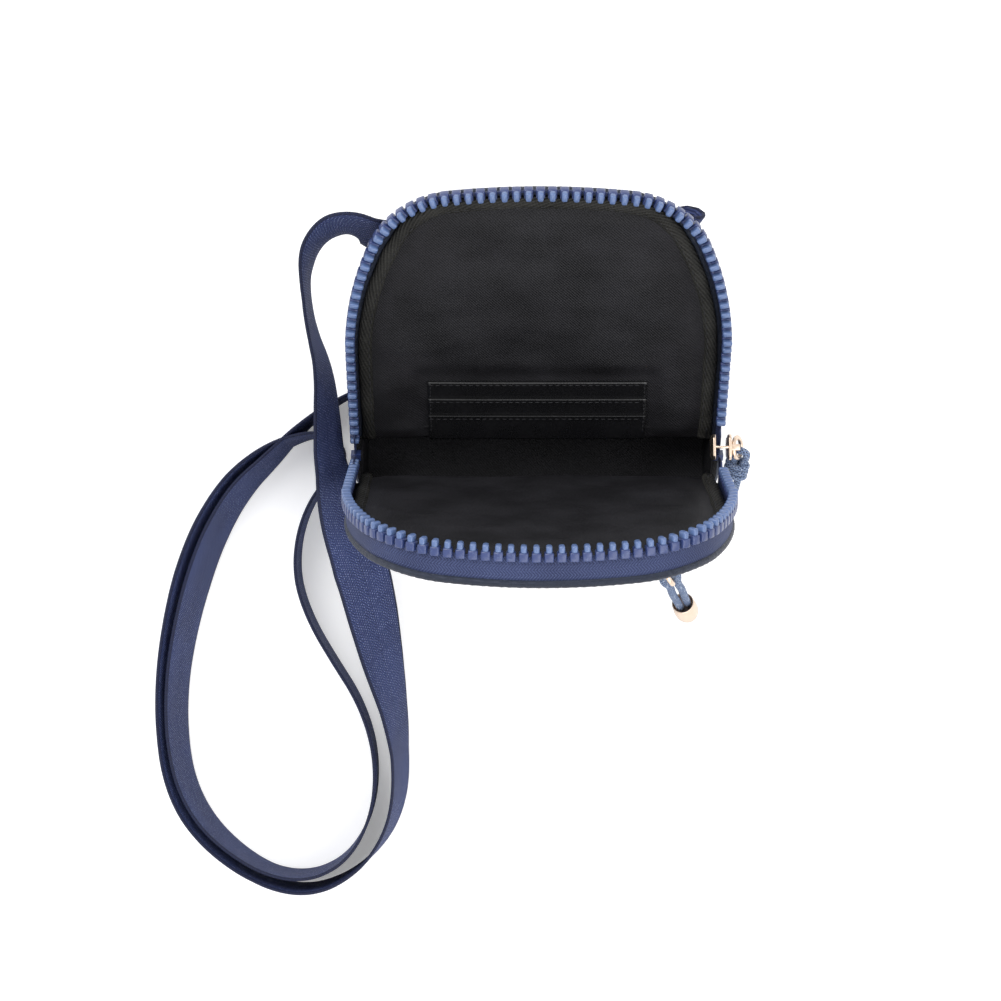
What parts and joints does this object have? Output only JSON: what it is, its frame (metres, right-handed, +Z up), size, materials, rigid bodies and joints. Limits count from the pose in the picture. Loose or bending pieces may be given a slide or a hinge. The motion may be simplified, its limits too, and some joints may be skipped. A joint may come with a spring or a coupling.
{
  "type": "small zip pouch with webbing strap",
  "caption": "Small padded zip pouch standing open, with interlocking moulded zip teeth, inner card slips, a zipped front pocket and a long webbing strap.",
  "frame": {"origin": "middle of the underside of the base, on the surface the pouch stands on", "axes": "+Z up, +X along the mouth towards the main slider, +Y from the front half to the back half"},
  "size_m": [0.2469, 0.2847, 0.1626],
  "materials": {
    "navy_nylon": "satin navy nylon with a fine plain weave",
    "padding": "soft foam",
    "black_lining": "soft black twill",
    "black_binding": "woven black tape, rolled",
    "stiffener": "plain board",
    "zip_plastic": "moulded denim blue, slight gloss",
    "zip_tape": "herringbone woven tape",
    "leatherette": "glossy black leatherette",
    "webbing": "herringbone webbing with a dark selvedge",
    "pale_gold": "pale gold plating, satin",
    "braided_cord": "tight round braid"
  },
  "bodies": {
    "root": {"lower_shell": "navy_nylon", "lower_padding": "padding", "lower_lining": "black_lining", "base_board": "stiffener", "zip_stop_left": "zip_plastic", "zip_stop_right": "zip_plastic", "strap_webbing": "webbing"},
    "back_half": {"back_panel": "navy_nylon", "back_foam": "padding", "back_lining": "black_lining", "back_edge_roll": "navy_nylon", "back_binding": "black_binding", "back_zip_tape": "zip_tape", "back_zip_teeth": "zip_plastic", "card_slip_top": "leatherette", "card_slip_middle": "leatherette", "card_slip_bottom": "leatherette", "strap_tab_left": "webbing", "strap_tab_right": "webbing"},
    "front_half": {"front_panel": "navy_nylon", "front_foam": "padding", "front_lining": "black_lining", "front_edge_roll": "navy_nylon", "front_binding": "black_binding", "front_zip_tape": "zip_tape", "front_zip_teeth": "zip_plastic", "front_pocket_bag": "black_lining", "pocket_zip_tape": "zip_tape", "pocket_zip_coil": "zip_plastic"},
    "main_slider": {"main_slider": "pale_gold"},
    "main_ring": {"main_ring": "pale_gold"},
    "main_pull": {"main_pull_cord": "braided_cord", "main_pull_cap": "pale_gold"},
    "pocket_slider": {"pocket_slider": "pale_gold"},
    "pocket_ring": {"pocket_ring": "pale_gold"},
    "pocket_pull": {"pocket_pull_cord": "braided_cord", "pocket_pull_cap": "pale_gold"}
  },
  "joints": [
    {"name": "back_fold", "type": "hinge", "parent": "root", "child": "back_half", "pos_m": [0, 0, 0.043], "axis": [1, 0, 0], "range_deg": [0, 51]},
    {"name": "front_fold", "type": "hinge", "parent": "root", "child": "front_half", "pos_m": [0, 0, 0.043], "axis": [-1, 0, 0], "range_deg": [-25, 15]},
    {"name": "main_zip_slide", "type": "slide", "parent": "root", "child": "main_slider", "axis": [0, -0.0787, 0.9969], "range_m": [0, 0.03812]},
    {"name": "main_ring_swing", "type": "hinge", "parent": "main_slider", "child": "main_ring", "pos_m": [0.07975, 0.003, 0.0496], "axis": [0, -1, 0], "range_deg": [-2, 94]},
    {"name": "main_pull_swing", "type": "hinge", "parent": "main_ring", "child": "main_pull", "pos_m": [0.08172, 0.003, 0.04589], "axis": [-0.8829, 0, -0.4695], "range_deg": [-60, 4]},
    {"name": "pocket_zip_slide", "type": "slide", "parent": "front_half", "child": "pocket_slider", "axis": [-1, 0, 0], "range_m": [0, 0.088]},
    {"name": "pocket_ring_swing", "type": "hinge", "parent": "pocket_slider", "child": "pocket_ring", "pos_m": [0.044, -0.04225, 0.1321], "axis": [0, -0.2588, 0.9659], "range_deg": [-80, 40]},
    {"name": "pocket_pull_swing", "type": "hinge", "parent": "pocket_ring", "child": "pocket_pull", "pos_m": [0.04623, -0.04569, 0.13118], "axis": [0.848, 0.5119, 0.1372], "range_deg": [-50, 8]}
  ],
  "couplings": [
    {"joint": "main_zip_slide", "follows": "back_fold", "m_per_rad": 0.04282}
  ]
}
